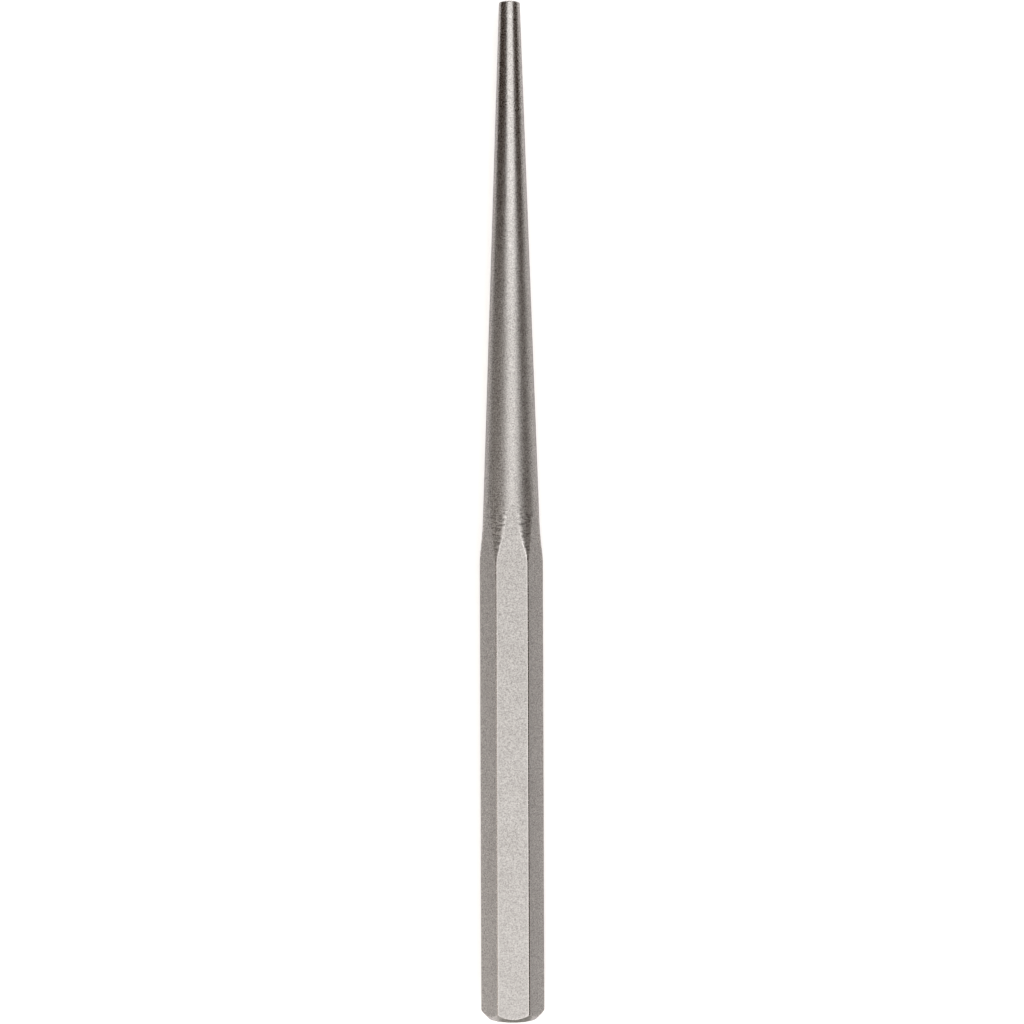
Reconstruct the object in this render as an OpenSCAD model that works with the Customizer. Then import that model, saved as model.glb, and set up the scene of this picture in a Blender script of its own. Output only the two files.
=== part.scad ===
// Line-up punch: one hexagon bar, turned to a long slender taper with a flat point
// and chamfered at the end that is struck.
// It lies on one flat of the bar, pointing along +Y. The origin is under its middle.

/* [Bar] */
// Length of the whole punch, from the struck face to the point
overall_length = 232.8; // [180:0.1:300]
// Hexagon bar stock, across its flats
across_flats = 12.7; // [10:0.1:18]
// Radius on the six long edges of the bar
arris_radius = 0.5; // [0.2:0.05:1.2]

/* [Taper] */
// Diameter of the flat face at the point
point_diameter = 4.76; // [3:0.02:8]
// Radius on the edge of the point
point_edge_radius = 0.25; // [0.1:0.05:0.8]
// Length of the straight taper, from the point to the start of the run-out
taper_length = 118; // [80:0.5:140]
// Angle between the taper's side and the axis
taper_angle = 1.98; // [1:0.02:3]
// Radius of the hollow run-out that leads from the taper out to the bar
runout_radius = 90; // [30:1:160]

/* [Struck end] */
// Diameter of the flat face that the hammer meets
struck_face_diameter = 11; // [6:0.1:12]
// Angle between the chamfer's side and the axis
chamfer_angle = 45; // [25:1:65]
// Radius on the edge between the struck face and the chamfer
struck_edge_radius = 0.4; // [0.1:0.05:1]

/* [Hidden] */

// Steps in each arris, in each edge round of the turning, and in the run-out
arris_steps = 4;
edge_steps = 6;
runout_steps = 12;

// The bar: six corners, each rounded about its own centre
corners = 6;
corner_turn = 360 / corners;
flat_distance = across_flats / 2;
arris_centre_distance = (flat_distance - arris_radius) / cos(corner_turn / 2);
corner_distance = arris_centre_distance + arris_radius;

// The taper's large end, where the run-out starts
point_r = point_diameter / 2;
taper_end_r = point_r + taper_length * tan(taper_angle);
taper_end_z = overall_length - taper_length;

// The turned outline stays outside the bar where the bar keeps its hexagon
turning_clearance = 1;
outer_r = max(corner_distance, taper_end_r) + turning_clearance;

// The run-out is an arc, tangent to the taper, about a centre outside the bar
runout_centre = [taper_end_r, taper_end_z] + runout_radius * [cos(taper_angle), sin(taper_angle)];
runout_end_angle = acos((runout_centre.x - outer_r) / runout_radius);

// Edge rounds, each tangent to the two lines that it joins
struck_r = struck_face_diameter / 2;
struck_turn = 90 - chamfer_angle;
struck_round_centre = [struck_r - struck_edge_radius * tan(struck_turn / 2), struck_edge_radius];
chamfer_end_z = (outer_r - struck_r) / tan(chamfer_angle);
point_turn = 90 - taper_angle;
point_round_centre = [
    point_r - point_edge_radius * tan(point_turn / 2),
    overall_length - point_edge_radius
];

// Angles spread evenly from one value to another
function angles(from, to, steps) = [for (i = [0:steps]) from + (to - from) * i / steps];

function struck_edge() = [
    for (a = angles(0, struck_turn, edge_steps))
        struck_round_centre + struck_edge_radius * [sin(a), -cos(a)]
];

function runout() = [
    for (a = angles(runout_end_angle, taper_angle, runout_steps))
        runout_centre - runout_radius * [cos(a), sin(a)]
];

function point_edge() = [
    for (a = angles(point_turn, 0, edge_steps))
        point_round_centre + point_edge_radius * [sin(a), cos(a)]
];

// Half outline of the turning, from the struck face up to the point
module turned_outline() {
    polygon(concat(
        [[0, 0]],
        struck_edge(),
        [[outer_r, chamfer_end_z]],
        runout(),
        point_edge(),
        [[0, overall_length]]
    ));
}

// Section of the bar, with a round on every corner
module bar_section() {
    polygon([
        for (corner = [0:corner_turn:360 - corner_turn])
            for (a = angles(corner - corner_turn / 2, corner + corner_turn / 2, arris_steps))
                arris_centre_distance * [cos(corner), sin(corner)] + arris_radius * [cos(a), sin(a)]
    ]);
}

// The punch: what the turning leaves of the bar
module punch() {
    color([0.62, 0.6, 0.58])
        translate([0, -overall_length / 2, flat_distance])
            rotate([-90, 0, 0])
                intersection() {
                    linear_extrude(overall_length) bar_section();
                    rotate_extrude($fn = 96) turned_outline();
                }
}

punch();
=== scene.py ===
import math

import bpy
import numpy as np
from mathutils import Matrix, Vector


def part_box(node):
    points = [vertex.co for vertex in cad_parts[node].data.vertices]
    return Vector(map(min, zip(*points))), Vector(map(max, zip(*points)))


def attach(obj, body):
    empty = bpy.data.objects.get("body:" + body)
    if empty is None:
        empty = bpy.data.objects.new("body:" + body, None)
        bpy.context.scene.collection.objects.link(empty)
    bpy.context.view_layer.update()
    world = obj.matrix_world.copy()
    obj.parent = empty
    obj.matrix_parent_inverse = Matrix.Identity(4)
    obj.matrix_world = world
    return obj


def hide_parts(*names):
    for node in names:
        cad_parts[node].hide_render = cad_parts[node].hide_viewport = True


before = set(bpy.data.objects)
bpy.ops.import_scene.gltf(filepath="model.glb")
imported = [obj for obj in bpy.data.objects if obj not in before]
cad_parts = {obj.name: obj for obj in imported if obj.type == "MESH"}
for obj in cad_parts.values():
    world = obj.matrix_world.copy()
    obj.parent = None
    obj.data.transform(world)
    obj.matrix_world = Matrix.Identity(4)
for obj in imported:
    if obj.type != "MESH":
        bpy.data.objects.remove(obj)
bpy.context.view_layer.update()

MM = 0.001
WHITE = "#ffffff"

# Sizes of the punch that its solid gives
low_corner, high_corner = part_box("punch")
overall_length = high_corner.y - low_corner.y
flat_distance = (high_corner.z - low_corner.z) / 2
corner_distance = (high_corner.x - low_corner.x) / 2
axis_height = low_corner.z + flat_distance
struck_end_y = low_corner.y

# Sizes of the turning, as in the solid
point_diameter = 4.76 * MM
point_edge_radius = 0.25 * MM
taper_length = 118 * MM
taper_angle = math.radians(1.98)
runout_radius = 90 * MM
struck_face_diameter = 11 * MM
struck_edge_radius = 0.4 * MM
chamfer_angle = math.radians(45)
turning_clearance = 1 * MM

# Blasting softens the edges that the turning leaves, over about these heights
runout_softness = 0.04 * MM
chamfer_softness = 0.2 * MM

# Sizes worked out from those
bar_corners = 6
half_sector = math.pi / bar_corners
sharp_corner = flat_distance / math.cos(half_sector)
arris_radius = (sharp_corner - corner_distance) / (1 / math.cos(half_sector) - 1)
arris_centre = corner_distance - arris_radius
half_flat = (flat_distance - arris_radius) * math.tan(half_sector)
flat_edge_angle = math.atan(half_flat / flat_distance)
point_radius = point_diameter / 2
taper_end_radius = point_radius + taper_length * math.tan(taper_angle)
taper_end = overall_length - taper_length
outer_radius = corner_distance + turning_clearance

# Blasted steel: its colours and tints; the dull tint goes to white where a painted highlight lies on
# the rubbed edges
pit_colour = "#9a9794"
grain_colour = "#e7e4e1"
blasted_tint = "#e5e5e5"
mottle_tint = "#f4f3f2"
grazing_tint = "#c7c3c9"

# How rough each part of it is, and where along the punch that changes
bar_roughness = 0.53
handled_roughness = 0.5
taper_roughness = 0.452
point_roughness = 0.29
rubbed_roughness = 0.32
arris_roughness = 0.26
handled_until_y = -110 * MM
blasted_from_y = -25 * MM
rough_until_y = 30 * MM
smooth_from_y = 100 * MM

# Grit pits: their size, what they change, and how strong they are on some parts
grit_size = 0.3 * MM
grit_depth = 0.02 * MM
grit_roughness = 0.15
speckle_reach = 0.28
handled_grit_share = 0.82
rubbed_grit_share = 0.4
mottle_size = 6 * MM

# They are stronger on the sides, up to where the steel faces nearly straight up or down
side_grit_share = 1.65
side_facing = 0.87
flat_facing = 0.97

# Feed marks of the turning
feed_mark_pitch = 0.36 * MM
feed_mark_length = 1 * MM
feed_mark_share = 1.2
feed_marks_end = 4 * MM
end_mark_share = 0.35

# Rubbed edges, smoothed and also painted lighter as a painted highlight: how wide their light lines
# are, and how steep an edge has to be to have one
rubbed_sheen_width = 0.45 * MM
blunt_edge_slope = 0.15
sharp_edge_slope = 0.4
# The arrises get a weaker painted highlight over this width, and fewer pits
arris_rubbed_sheen_width = 0.3 * MM
arris_painted_sheen_share = 0.35
worn_sheen_end_y = struck_end_y + 4 * MM
far_from_edge = 5 * MM
least_slope = 0.02


def srgb(code):
    """Linear colour of an sRGB hex value."""
    parts = [int(code[i:i + 2], 16) / 255 for i in (1, 3, 5)]
    linear = [p / 12.92 if p <= 0.04045 else ((p + 0.055) / 1.055) ** 2.4 for p in parts]
    return (*linear, 1.0)


def add_node(tree, kind, inputs=None, **settings):
    """Adds a node: settings are its own, and inputs are values or the sockets to link from."""
    made = tree.nodes.new(kind)
    for name, value in settings.items():
        setattr(made, name, value)
    for name, value in (inputs or {}).items():
        if isinstance(value, bpy.types.NodeSocket):
            tree.links.new(value, made.inputs[name])
        else:
            made.inputs[name].default_value = value
    return made


def new_material(name):
    """An empty material, its node tree and its output node."""
    material = bpy.data.materials.new(name)
    material.use_nodes = True
    tree = material.node_tree
    tree.nodes.clear()
    return material, tree, tree.nodes.new("ShaderNodeOutputMaterial")


# Sockets of a colour mix node, which shares its names among several kinds
COLOUR_A, COLOUR_B, COLOUR_RESULT = 6, 7, 2

# Middle value of a noise texture
NOISE_MIDDLE = 0.5


def blasted_steel():
    """Alloy tool steel, turned, then blasted with fine grit: a warm grey metal with a soft shine.

    The grit leaves a speckle of pits, really about 0.1 mm wide and drawn coarser to show.
    They are stronger on the sides than on the upper and lower flats, and weaker where handled.
    The lathe's feed marks, drawn coarser too, last on the run-out, the chamfer and the end faces.
    The slender end is smoother. Handling has rubbed the bar's edges and the struck end smooth, and
    their colour is painted lighter there as a painted highlight."""
    material, tree, output = new_material("blasted_steel")
    coordinates = add_node(tree, "ShaderNodeTexCoord")
    place = coordinates.outputs["Object"]
    facing = add_node(tree, "ShaderNodeSeparateXYZ", {"Vector": coordinates.outputs["Normal"]})
    split = add_node(tree, "ShaderNodeSeparateXYZ", {"Vector": place})
    along = split.outputs["Y"]
    facts = {}
    for name in ("from_turning", "from_arris", "edge_slope", "profile_way", "feed_marks"):
        facts[name] = add_node(tree, "ShaderNodeAttribute", attribute_name=name).outputs["Fac"]
    turned = add_node(tree, "ShaderNodeMath", {
        0: facts["from_turning"],
        1: 0.0,
    }, operation="LESS_THAN").outputs[0]
    own_bar = add_node(tree, "ShaderNodeMath", {0: 1.0, 1: turned}, operation="SUBTRACT").outputs[0]

    # Rubbed steel, smoother and also painted lighter as a painted highlight: the struck end, and the
    # bar's side of each sharp edge that the turning cuts
    near_turning = add_node(tree, "ShaderNodeMapRange", {
        "Value": facts["from_turning"],
        "From Max": rubbed_sheen_width,
        "To Min": 1.0,
        "To Max": 0.0,
    }, interpolation_type="SMOOTHSTEP").outputs["Result"]
    sharpness = add_node(tree, "ShaderNodeMapRange", {
        "Value": facts["edge_slope"],
        "From Min": blunt_edge_slope,
        "From Max": sharp_edge_slope,
    }, interpolation_type="SMOOTHSTEP").outputs["Result"]
    near_edge = add_node(tree, "ShaderNodeMath", {
        0: near_turning,
        1: sharpness,
    }, operation="MULTIPLY").outputs[0]
    turned_edge = add_node(tree, "ShaderNodeMath", {0: near_edge, 1: own_bar}, operation="MULTIPLY")
    at_struck_end = add_node(tree, "ShaderNodeMath", {0: along, 1: worn_sheen_end_y}, operation="LESS_THAN")
    worn_end_and_sheen = add_node(tree, "ShaderNodeMath", {
        0: at_struck_end.outputs[0],
        1: turned,
    }, operation="MULTIPLY").outputs[0]
    rubbed_and_sheen = add_node(tree, "ShaderNodeMath", {
        0: turned_edge.outputs[0],
        1: worn_end_and_sheen,
    }, operation="MAXIMUM").outputs[0]

    # The six arrises get less of the painted highlight, and the pits are shallow on them and on the
    # struck end
    near_arris = add_node(tree, "ShaderNodeMapRange", {
        "Value": facts["from_arris"],
        "From Max": arris_rubbed_sheen_width,
        "To Min": 1.0,
        "To Max": 0.0,
    }, interpolation_type="SMOOTHSTEP").outputs["Result"]
    arris_edge = add_node(tree, "ShaderNodeMath", {0: near_arris, 1: own_bar}, operation="MULTIPLY")
    smoothed = add_node(tree, "ShaderNodeMath", {
        0: arris_edge.outputs[0],
        1: worn_end_and_sheen,
    }, operation="MAXIMUM").outputs[0]
    arris_painted_sheen = add_node(tree, "ShaderNodeMath", {
        0: arris_edge.outputs[0],
        1: arris_painted_sheen_share,
    }, operation="MULTIPLY")
    painted_sheen = add_node(tree, "ShaderNodeMath", {
        0: arris_painted_sheen.outputs[0],
        1: rubbed_and_sheen,
    }, operation="MAXIMUM").outputs[0]

    # Grit pits, as heights about a middle, with their share of strength on each part
    grit = add_node(tree, "ShaderNodeTexNoise", {
        "Vector": place,
        "Scale": 1 / grit_size,
        "Detail": 1.0,
    })
    grit_height = add_node(tree, "ShaderNodeMath", {
        0: grit.outputs["Fac"],
        1: NOISE_MIDDLE,
    }, operation="SUBTRACT")
    rubbed_share = add_node(tree, "ShaderNodeMapRange", {
        "Value": smoothed,
        "To Min": 1.0,
        "To Max": rubbed_grit_share,
    })
    up_or_down = add_node(tree, "ShaderNodeMath", {0: facing.outputs["Z"]}, operation="ABSOLUTE")
    side_share = add_node(tree, "ShaderNodeMapRange", {
        "Value": up_or_down.outputs[0],
        "From Min": side_facing,
        "From Max": flat_facing,
        "To Min": side_grit_share,
        "To Max": 1.0,
    })
    handled_share = add_node(tree, "ShaderNodeMapRange", {
        "Value": along,
        "From Min": handled_until_y,
        "From Max": blasted_from_y,
        "To Min": handled_grit_share,
        "To Max": 1.0,
    })
    bar_share = add_node(tree, "ShaderNodeMath", {
        0: side_share.outputs["Result"],
        1: handled_share.outputs["Result"],
    }, operation="MULTIPLY")
    grit_share = add_node(tree, "ShaderNodeMath", {
        0: rubbed_share.outputs["Result"],
        1: bar_share.outputs[0],
    }, operation="MULTIPLY")
    grit_left = add_node(tree, "ShaderNodeMath", {
        0: grit_height.outputs[0],
        1: grit_share.outputs[0],
    }, operation="MULTIPLY").outputs[0]

    # Feed marks: noise drawn out round the axis, added to the pits
    way_stretched = add_node(tree, "ShaderNodeMath", {
        0: facts["profile_way"],
        1: feed_mark_length / feed_mark_pitch,
    }, operation="MULTIPLY")
    ring_place = add_node(tree, "ShaderNodeCombineXYZ", {
        "X": split.outputs["X"],
        "Y": way_stretched.outputs[0],
        "Z": split.outputs["Z"],
    })
    rings = add_node(tree, "ShaderNodeTexNoise", {
        "Vector": ring_place.outputs["Vector"],
        "Scale": 1 / feed_mark_length,
        "Detail": 0.0,
    })
    ring_height = add_node(tree, "ShaderNodeMath", {
        0: rings.outputs["Fac"],
        1: NOISE_MIDDLE,
    }, operation="SUBTRACT")
    marks_left = add_node(tree, "ShaderNodeMath", {
        0: ring_height.outputs[0],
        1: facts["feed_marks"],
    }, operation="MULTIPLY")
    relief = add_node(tree, "ShaderNodeMath", {
        0: marks_left.outputs[0],
        1: feed_mark_share,
        2: grit_left,
    }, operation="MULTIPLY_ADD").outputs[0]
    bumped = add_node(tree, "ShaderNodeBump", {"Height": relief, "Distance": grit_depth})

    # Colour: dark pits and light grains, duller except where rubbed, where it is painted lighter as a
    # painted highlight, with a faint mottle
    speckle = add_node(tree, "ShaderNodeMapRange", {
        "Value": relief,
        "From Min": -speckle_reach,
        "From Max": speckle_reach,
    })
    bright_grey = add_node(tree, "ShaderNodeMix", {
        "Factor": speckle.outputs["Result"],
        COLOUR_A: srgb(pit_colour),
        COLOUR_B: srgb(grain_colour),
    }, data_type="RGBA")
    # The dull tint goes to white where the painted highlight lies on rubbed edges and the struck end
    tint_with_painted_sheen = add_node(tree, "ShaderNodeMix", {
        "Factor": painted_sheen,
        COLOUR_A: srgb(blasted_tint),
        COLOUR_B: srgb(WHITE),
    }, data_type="RGBA")
    grey = add_node(tree, "ShaderNodeMix", {
        "Factor": 1.0,
        COLOUR_A: bright_grey.outputs[COLOUR_RESULT],
        COLOUR_B: tint_with_painted_sheen.outputs[COLOUR_RESULT],
    }, data_type="RGBA", blend_type="MULTIPLY")
    clouds = add_node(tree, "ShaderNodeTexNoise", {
        "Vector": place,
        "Scale": 1 / mottle_size,
        "Detail": 2.0,
    })
    mottle = add_node(tree, "ShaderNodeMix", {
        "Factor": clouds.outputs["Fac"],
        COLOUR_A: srgb(mottle_tint),
        COLOUR_B: srgb(WHITE),
    }, data_type="RGBA")
    colour = add_node(tree, "ShaderNodeMix", {
        "Factor": 1.0,
        COLOUR_A: grey.outputs[COLOUR_RESULT],
        COLOUR_B: mottle.outputs[COLOUR_RESULT],
    }, data_type="RGBA", blend_type="MULTIPLY")

    # Roughness: the bar's, which handling smooths, and the taper's, which falls towards the point
    bar_rough = add_node(tree, "ShaderNodeMapRange", {
        "Value": along,
        "From Min": handled_until_y,
        "From Max": blasted_from_y,
        "To Min": handled_roughness,
        "To Max": bar_roughness,
    })
    turned_rough = add_node(tree, "ShaderNodeMapRange", {
        "Value": along,
        "From Min": rough_until_y,
        "From Max": smooth_from_y,
        "To Min": taper_roughness,
        "To Max": point_roughness,
    }, interpolation_type="SMOOTHSTEP")
    blasted_rough = add_node(tree, "ShaderNodeMix", {
        "Factor": turned,
        "A": bar_rough.outputs["Result"],
        "B": turned_rough.outputs["Result"],
    })
    rubbed_rough = add_node(tree, "ShaderNodeMix", {
        "Factor": rubbed_and_sheen,
        "A": blasted_rough.outputs["Result"],
        "B": rubbed_roughness,
    })
    round_arris = add_node(tree, "ShaderNodeMath", {
        0: facts["from_arris"],
        1: 0.0,
    }, operation="LESS_THAN")
    on_arris = add_node(tree, "ShaderNodeMath", {
        0: round_arris.outputs[0],
        1: own_bar,
    }, operation="MULTIPLY")
    smooth_rough = add_node(tree, "ShaderNodeMix", {
        "Factor": on_arris.outputs[0],
        "A": rubbed_rough.outputs["Result"],
        "B": arris_roughness,
    })
    roughness = add_node(tree, "ShaderNodeMath", {
        0: grit_left,
        1: grit_roughness,
        2: smooth_rough.outputs["Result"],
    }, operation="MULTIPLY_ADD")

    # Iron reflects less than most metals at a grazing angle, which its specular tint sets
    shader = add_node(tree, "ShaderNodeBsdfPrincipled", {
        "Base Color": colour.outputs[COLOUR_RESULT],
        "Metallic": 1.0,
        "Specular Tint": srgb(grazing_tint),
        "Roughness": roughness.outputs[0],
        "Normal": bumped.outputs["Normal"],
    })
    tree.links.new(shader.outputs["BSDF"], output.inputs["Surface"])
    return material


# The mesh: points across each flat and arris, and along each stretch of the turning's outline
flat_points = 40
arris_points = 6
struck_face_points = 14
edge_points = 7
chamfer_points = 40
bar_points = 36
runout_points = 120
apex_points = 30
taper_points = 70
point_face_points = 7

# Its first corner round the bar, its smallest ring, and how far past the tongues its steps are fine
first_corner = 4
innermost_radius = 0.15 * MM
past_apex = 2 * MM

# Gap round each piece of the export's texture
map_gap = 1 * MM


def from_corner(angles):
    """Angle from the nearest corner of the hexagon, for angles round the axis from a corner."""
    return np.abs((angles + half_sector) % (2 * half_sector) - half_sector)


def bar_radius(angles):
    """Distance from the axis to the hexagon bar's side, at angles round the axis."""
    off_corner = from_corner(angles)
    off_flat = half_sector - off_corner
    on_flat = flat_distance / np.cos(off_flat)
    across = arris_centre * np.sin(off_corner)
    reach = np.sqrt(np.maximum(arris_radius ** 2 - across ** 2, 0))
    on_arris = arris_centre * np.cos(off_corner) + reach
    return np.where(off_flat < flat_edge_angle, on_flat, on_arris)


def angles_round_bar():
    """Angles once round the bar from an arris underneath, closer together over each arris."""
    arris_half = half_sector - flat_edge_angle
    arris = np.linspace(-arris_half, arris_half, arris_points, endpoint=False)
    flat = np.linspace(arris_half, 2 * half_sector - arris_half, flat_points, endpoint=False)
    sector = np.concatenate([arris, flat])
    corners = [2 * half_sector * (first_corner + i) for i in range(bar_corners)]
    return np.concatenate([sector + corner for corner in corners])


def turned_outline():
    """Points (radius, distance from the struck face) along the turning, from face to point."""
    struck_radius = struck_face_diameter / 2
    struck_turn = math.pi / 2 - chamfer_angle
    struck_centre = struck_radius - struck_edge_radius * math.tan(struck_turn / 2)
    point_turn = math.pi / 2 - taper_angle
    point_centre = point_radius - point_edge_radius * math.tan(point_turn / 2)
    runout_centre_r = taper_end_radius + runout_radius * math.cos(taper_angle)
    runout_centre_s = taper_end + runout_radius * math.sin(taper_angle)
    runout_end = math.acos((runout_centre_r - outer_radius) / runout_radius)

    struck_face_radii = np.linspace(innermost_radius, struck_centre, struck_face_points)
    struck_face = [(r, 0.0) for r in struck_face_radii[:-1]]
    struck_edge = [
        (struck_centre + struck_edge_radius * math.sin(a), struck_edge_radius * (1 - math.cos(a)))
        for a in np.linspace(0, struck_turn, edge_points)
    ]
    chamfer_start_r, chamfer_start_s = struck_edge[-1]
    chamfer = [
        (r, chamfer_start_s + (r - chamfer_start_r) / math.tan(chamfer_angle))
        for r in np.linspace(chamfer_start_r, outer_radius, chamfer_points)[1:]
    ]
    runout = [
        (
            runout_centre_r - runout_radius * math.cos(a),
            runout_centre_s - runout_radius * math.sin(a),
        )
        for a in np.linspace(runout_end, taper_angle, runout_points)
    ]
    bar_places = np.linspace(chamfer[-1][1], runout[0][1], bar_points)
    bar = [(outer_radius, s) for s in bar_places[1:-1]]
    apex = overall_length - (flat_distance - point_radius) / math.tan(taper_angle)
    near_apex = list(np.linspace(taper_end, apex + past_apex, apex_points)[1:])
    along_taper = np.linspace(near_apex[-1], overall_length - point_edge_radius, taper_points)
    taper = [
        (point_radius + (overall_length - s) * math.tan(taper_angle), s)
        for s in near_apex + list(along_taper[1:-1])
    ]
    point_edge = [
        (
            point_centre + point_edge_radius * math.sin(a),
            overall_length - point_edge_radius * (1 - math.cos(a)),
        )
        for a in np.linspace(point_turn, 0, edge_points)
    ]
    point_face_radii = np.linspace(point_centre, innermost_radius, point_face_points)
    point_face = [(r, overall_length) for r in point_face_radii[1:]]
    struck_end = struck_face + struck_edge + chamfer
    return np.array(struck_end + bar + runout + taper + point_edge + point_face)


def soft_least(a, b, softness):
    """The lesser of two distances, eased where they meet."""
    near = np.maximum(softness - np.abs(a - b), 0) / softness
    return np.minimum(a, b) - near ** 2 * softness / 4


def profile_distance(outline):
    """Distance along the turning's outline, from the middle of the struck face."""
    steps = np.hypot(*np.diff(outline, axis=0).T)
    return outline[0, 0] + np.concatenate([[0], np.cumsum(steps)])


def surface_facts(bar, turning, angles, outline):
    """What the steel needs to know at each point of the rings, by name.

    The distances from the edges that the turning cuts, and from the arrises, are above 0 on the
    bar's own flats. The first is the height left over the edge, divided by its slope, and that
    slope also says how sharp the edge is."""
    shape = bar.shape
    way = profile_distance(outline)
    height = turning - bar
    slope_along = np.gradient(height, way, axis=0)
    slope_round = np.gradient(height, angles, axis=1) / np.minimum(bar, turning)
    slope = np.maximum(np.hypot(slope_along, slope_round), least_slope)
    from_turning = np.clip(height / slope, -far_from_edge, far_from_edge)
    across = flat_distance * np.tan(half_sector - from_corner(angles))
    from_arris = np.broadcast_to(half_flat - across, shape)
    distance = outline[:, 1]
    fading = np.clip(1 - (distance - taper_end) / feed_marks_end, 0, 1)
    at_an_end = (distance < taper_end / 2) | (distance >= overall_length)
    feed_marks = np.where(at_an_end, end_mark_share, fading)[:, None] * (turning < bar)
    return {
        "from_turning": from_turning,
        "from_arris": from_arris,
        "edge_slope": slope,
        "profile_way": np.broadcast_to(way[:, None], shape),
        "feed_marks": feed_marks,
    }


def quad_corners(grid):
    """The four corners of each quad between neighbouring rings, from values along the rings."""
    return np.stack([grid[:-1, :-1], grid[1:, :-1], grid[1:, 1:], grid[:-1, 1:]], axis=2)


def bake_map(outline, angles):
    """Places on the export's texture: bar and taper unrolled side by side, end faces as discs."""
    way = profile_distance(outline)
    radius = np.minimum(outline[:, 0], (flat_distance + corner_distance) / 2)
    around = np.append(angles, angles[0] + 2 * math.pi)
    turn = around - angles[0] - math.pi
    struck_ring = np.flatnonzero(outline[:, 1] > 0)[0] - 1
    point_ring = np.flatnonzero(outline[:, 1] >= overall_length)[0]
    middle_ring = np.flatnonzero(way > (way[struck_ring] + way[point_ring]) / 2)[0]
    strip_half = math.pi * radius.max() + map_gap
    strip_high = way[middle_ring] - way[struck_ring] + 2 * map_gap
    struck_reach = outline[struck_ring, 0] + map_gap
    point_reach = outline[point_ring, 0] + map_gap
    struck_middle = (4 * strip_half - struck_reach, strip_high - struck_reach)
    point_middle = (2 * strip_half + point_reach, strip_high - point_reach)

    def strip(first, last, centre):
        u = centre + radius[first:last + 1, None] * turn
        v = map_gap + np.broadcast_to((way[first:last + 1] - way[first])[:, None], u.shape)
        return quad_corners(np.stack([u, v], axis=-1))

    def disc(rings, middle):
        outward = np.stack([np.cos(around), np.sin(around)], axis=-1)
        return middle + rings[:, None, None] * outward

    def fan(middle, first, second):
        return np.stack([np.broadcast_to(middle, first.shape), first, second], axis=1)

    struck_disc = disc(outline[:struck_ring + 1, 0], struck_middle)
    point_disc = disc(outline[point_ring:, 0], point_middle)
    faces = [
        quad_corners(struck_disc),
        strip(struck_ring, middle_ring, strip_half),
        strip(middle_ring, point_ring, 3 * strip_half),
        quad_corners(point_disc),
        fan(struck_middle, struck_disc[0, :-1], struck_disc[0, 1:]),
        fan(point_middle, point_disc[-1, 1:], point_disc[-1, :-1]),
    ]
    places = np.concatenate([part.reshape(-1, 2) for part in faces])
    return places / (4 * strip_half, strip_high)


def punch_mesh():
    """The whole punch: what the turning leaves of the bar, as one closed mesh of rings."""
    outline = turned_outline()
    angles = angles_round_bar()
    rows, columns = len(outline), len(angles)
    bar = np.broadcast_to(bar_radius(angles), (rows, columns))
    turning = np.broadcast_to(outline[:, :1], (rows, columns))
    in_struck_half = outline[:, 1:] < overall_length / 2
    softness = np.where(in_struck_half, chamfer_softness, runout_softness)
    radius = soft_least(bar, turning, softness)
    x = radius * np.cos(angles)
    y = np.broadcast_to(outline[:, 1:] + struck_end_y, (rows, columns))
    z = radius * np.sin(angles) + axis_height
    rings = np.stack([x, y, z], axis=-1).reshape(-1, 3)
    middles = [(0, struck_end_y, axis_height), (0, struck_end_y + overall_length, axis_height)]

    index = np.arange(rows * columns).reshape(rows, columns)
    index = np.append(index, index[:, :1], axis=1)
    quads = quad_corners(index).reshape(-1, 4)
    struck_middle = rows * columns
    point_middle = struck_middle + 1
    struck_fan = [(struck_middle, a, b) for a, b in zip(index[0, :-1], index[0, 1:])]
    point_fan = [(point_middle, b, a) for a, b in zip(index[-1, :-1], index[-1, 1:])]
    faces = quads.tolist() + struck_fan + point_fan

    mesh = bpy.data.meshes.new("punch_body")
    mesh.from_pydata(rings.tolist() + middles, [], faces)
    mesh.polygons.foreach_set("use_smooth", np.ones(len(faces), bool))
    for name, values in surface_facts(bar, turning, angles, outline).items():
        attribute = mesh.attributes.new(name, "FLOAT", "POINT")
        at_points = np.concatenate([values.ravel(), [values[0, 0], values[-1, 0]]])
        attribute.data.foreach_set("value", at_points.astype(np.float32))
    layer = mesh.uv_layers.new(name="OFBake")
    layer.uv.foreach_set("vector", bake_map(outline, angles).astype(np.float32).ravel())
    mesh.update()
    return mesh


def make_punch():
    punch = bpy.data.objects.new("punch_body", punch_mesh())
    bpy.context.scene.collection.objects.link(punch)
    punch.data.materials.append(blasted_steel())
    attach(punch, "root")
    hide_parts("punch")


# Camera: above the punch, at the distance that its perspective asks for
image_size = 1024
pixels_per_mm = 4.36
camera_lens = 85
sensor_width = 36
camera_distance = camera_lens / sensor_width * image_size / pixels_per_mm * MM
camera_offset_x = 0.2 * MM
camera_offset_y = -0.36 * MM
camera_lean = math.radians(1.2)
camera_roll = math.radians(-0.204)


def make_camera():
    data = bpy.data.cameras.new("camera")
    data.lens = camera_lens
    data.sensor_width = sensor_width
    camera = bpy.data.objects.new("camera", data)
    camera.location = (
        camera_offset_x - camera_distance * math.sin(camera_lean),
        camera_offset_y,
        axis_height + camera_distance * math.cos(camera_lean),
    )
    camera.rotation_euler = (0, -camera_lean, camera_roll)
    bpy.context.scene.collection.objects.link(camera)
    bpy.context.scene.camera = camera


# Stage: a white table in a dim warm room
table_size = 200
table_drop = 0.05 * MM
table_colour = "#e7e5e2"
near_fill = 0.45
far_fill = 1.0
fill_grows_from = 0.3
fill_grows_to = 1.2
room_colour = "#4a3b30"

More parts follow.
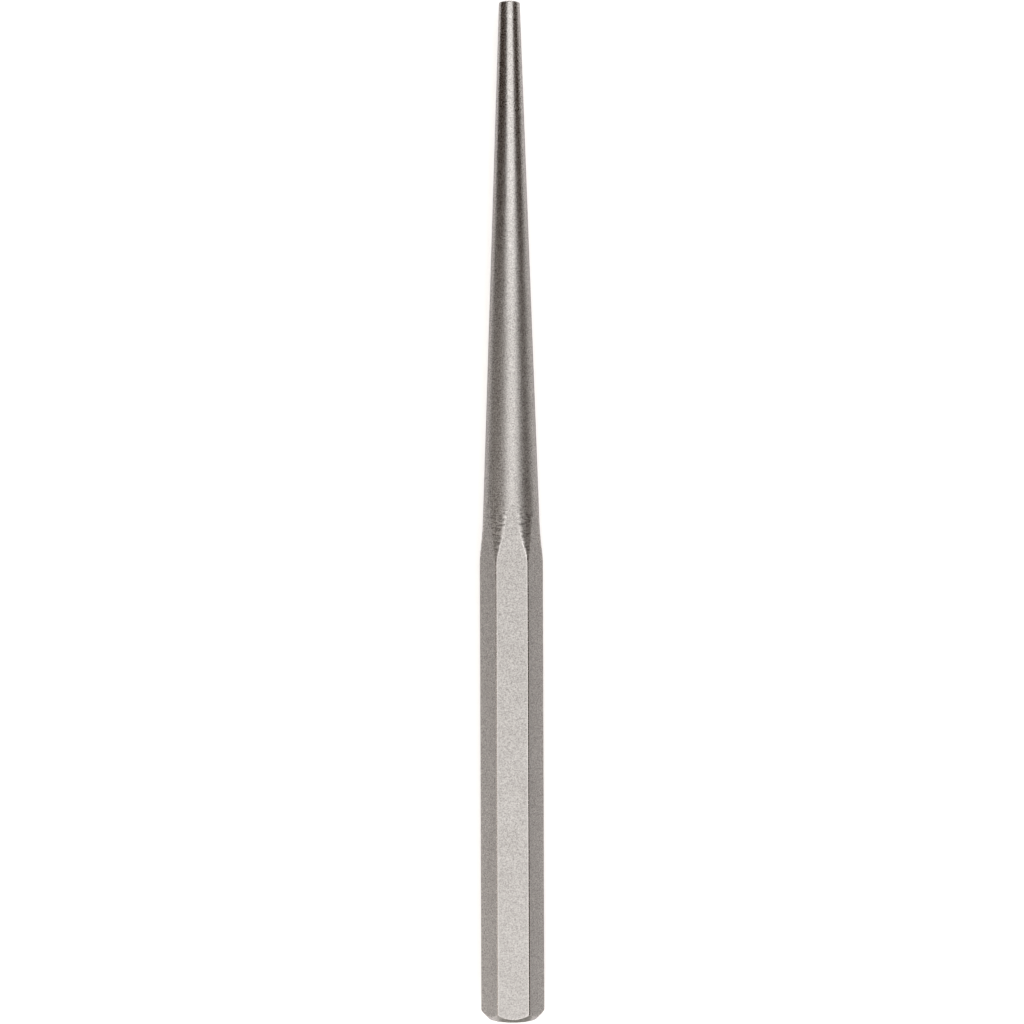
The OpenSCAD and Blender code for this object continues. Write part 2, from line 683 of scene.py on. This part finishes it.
# Low cards that the punch reflects; the left one starts under the table and rises towards the point
dark_card_colour = "#52473f"
grey_card_colour = "#c2c3bf"
card_half_length = 200 * MM
left_card_distance = 31.5 * MM
left_card_turn = 0.7
left_card_low = -5 * MM
left_card_lift = 3.5 * MM
left_card_height = 8.5 * MM
right_card_distance = 43 * MM
right_card_turn = 0.35
right_card_height = 5.3 * MM
bar_card_distance = 45 * MM
bar_card_end_y = 0
bar_card_height = 14 * MM
front_card_y = -130 * MM
front_card_left = -9 * MM
front_card_right = 60 * MM
front_card_height = 14 * MM

# Soft boxes overhead, at the left side, at the back and in front
overhead_height = 0.9
overhead_left = -0.38
overhead_right = 0.58
overhead_front = -1.8
overhead_back = 0.65
overhead_brightness = 1.92
side_distance = 0.8
side_low = 0.04
side_high = 1.4
side_front = -1.6
side_back = -0.06
side_brightness = 1.0
side_colour = "#fffaf4"
back_distance = 1.6
back_low = 0.1
back_high = 2.2
back_width = 4.0
back_brightness = 0.75
front_distance = 1.9
front_left = -0.2
front_right = 2.4
front_low = 0.1
front_high = 1.2
front_brightness = 0.6


def white_table():
    """Warm white card: an even pale surface that keeps the punch's soft shadow.

    Its fill grows to full white far from the punch, where the lamps don't reach."""
    material, tree, output = new_material("white_table")
    path = add_node(tree, "ShaderNodeLightPath")
    seen = add_node(tree, "ShaderNodeMath", {
        0: path.outputs["Is Camera Ray"],
        1: path.outputs["Is Glossy Ray"],
    }, operation="MAXIMUM")
    seen_through = add_node(tree, "ShaderNodeMath", {
        0: seen.outputs[0],
        1: path.outputs["Is Transmission Ray"],
    }, operation="MAXIMUM")
    place = add_node(tree, "ShaderNodeTexCoord").outputs["Object"]
    from_middle = add_node(tree, "ShaderNodeVectorMath", {0: place}, operation="LENGTH")
    fill_level = add_node(tree, "ShaderNodeMapRange", {
        "Value": from_middle.outputs["Value"],
        "From Min": fill_grows_from,
        "From Max": fill_grows_to,
        "To Min": near_fill,
        "To Max": far_fill,
    })
    strength = add_node(tree, "ShaderNodeMath", {
        0: seen_through.outputs[0],
        1: fill_level.outputs["Result"],
    }, operation="MULTIPLY")
    card = add_node(tree, "ShaderNodeBsdfDiffuse", {"Color": srgb(table_colour)})
    fill = add_node(tree, "ShaderNodeEmission", {"Strength": strength.outputs[0]})
    both = add_node(tree, "ShaderNodeAddShader", {0: card.outputs[0], 1: fill.outputs[0]})
    tree.links.new(both.outputs[0], output.inputs["Surface"])
    return material


def paper_card(name, code):
    """Coloured paper: dull, with no shine."""
    material, tree, output = new_material(name)
    paper = add_node(tree, "ShaderNodeBsdfDiffuse", {"Color": srgb(code)})
    tree.links.new(paper.outputs[0], output.inputs["Surface"])
    return material


def make_sheet(name, corners, material):
    """One flat four-cornered piece of the stage."""
    mesh = bpy.data.meshes.new(name)
    mesh.from_pydata(corners, [], [(0, 1, 2, 3)])
    mesh.materials.append(material)
    sheet = bpy.data.objects.new(name, mesh)
    bpy.context.scene.collection.objects.link(sheet)
    return sheet


def make_table():
    half = table_size / 2
    z = -table_drop
    corners = [(-half, -half, z), (half, -half, z), (half, half, z), (-half, half, z)]
    make_sheet("table", corners, white_table())


def make_card(name, start, end, height, material):
    """A card on edge, up from the line between two places, seen only in the punch's reflections."""
    corners = [start, end, (*end[:2], height), (*start[:2], height)]
    card = make_sheet(name, corners, material)
    card.visible_camera = False
    card.visible_diffuse = False
    card.visible_shadow = False


def make_cards():
    dark_paper = paper_card("dark_card", dark_card_colour)
    grey_paper = paper_card("grey_card", grey_card_colour)
    left_start = (-left_card_distance * (1 + left_card_turn), -card_half_length, left_card_low)
    left_end = (-left_card_distance * (1 - left_card_turn), card_half_length, left_card_lift)
    make_card("left_card", left_start, left_end, left_card_height, dark_paper)
    right_start = (right_card_distance * (1 + right_card_turn), -card_half_length, 0)
    right_end = (right_card_distance * (1 - right_card_turn), card_half_length, 0)
    make_card("right_card", right_start, right_end, right_card_height, dark_paper)
    bar_start = (bar_card_distance, -card_half_length, 0)
    bar_end = (bar_card_distance, bar_card_end_y, 0)
    make_card("bar_card", bar_start, bar_end, bar_card_height, dark_paper)
    front_start = (front_card_left, front_card_y, 0)
    front_end = (front_card_right, front_card_y, 0)
    make_card("front_card", front_start, front_end, front_card_height, grey_paper)


def make_light(name, centre, aim, width, length, brightness, colour=WHITE):
    """A soft box whose face has the given brightness, where 1 shows as white."""
    data = bpy.data.lights.new(name, "AREA")
    data.color = srgb(colour)[:3]
    data.shape = "RECTANGLE"
    data.size = width
    data.size_y = length
    data.energy = brightness * math.pi * width * length
    light = bpy.data.objects.new(name, data)
    light.location = centre
    light.visible_camera = False
    light.rotation_euler = (Vector(aim) - Vector(centre)).to_track_quat("-Z", "Y").to_euler()
    bpy.context.scene.collection.objects.link(light)


def make_lights():
    overhead_x = (overhead_left + overhead_right) / 2
    overhead_y = (overhead_front + overhead_back) / 2
    make_light(
        "overhead_box", (overhead_x, overhead_y, overhead_height), (overhead_x, overhead_y, 0),
        overhead_right - overhead_left, overhead_back - overhead_front, overhead_brightness,
    )
    side_y = (side_front + side_back) / 2
    side_z = (side_low + side_high) / 2
    make_light(
        "side_box", (-side_distance, side_y, side_z), (0, side_y, side_z),
        side_back - side_front, side_high - side_low, side_brightness, side_colour,
    )
    back_z = (back_low + back_high) / 2
    make_light(
        "back_box", (0, back_distance, back_z), (0, 0, back_z),
        back_width, back_high - back_low, back_brightness,
    )
    front_x = (front_left + front_right) / 2
    front_z = (front_low + front_high) / 2
    make_light(
        "front_box", (front_x, -front_distance, front_z), (front_x, 0, front_z),
        front_right - front_left, front_high - front_low, front_brightness,
    )


def make_room():
    world = bpy.data.worlds.new("room")
    world.use_nodes = True
    world.node_tree.nodes["Background"].inputs["Color"].default_value = srgb(room_colour)
    bpy.context.scene.world = world


make_punch()
make_camera()
make_table()
make_cards()
make_lights()
make_room()
bpy.context.scene.view_settings.view_transform = "Standard"
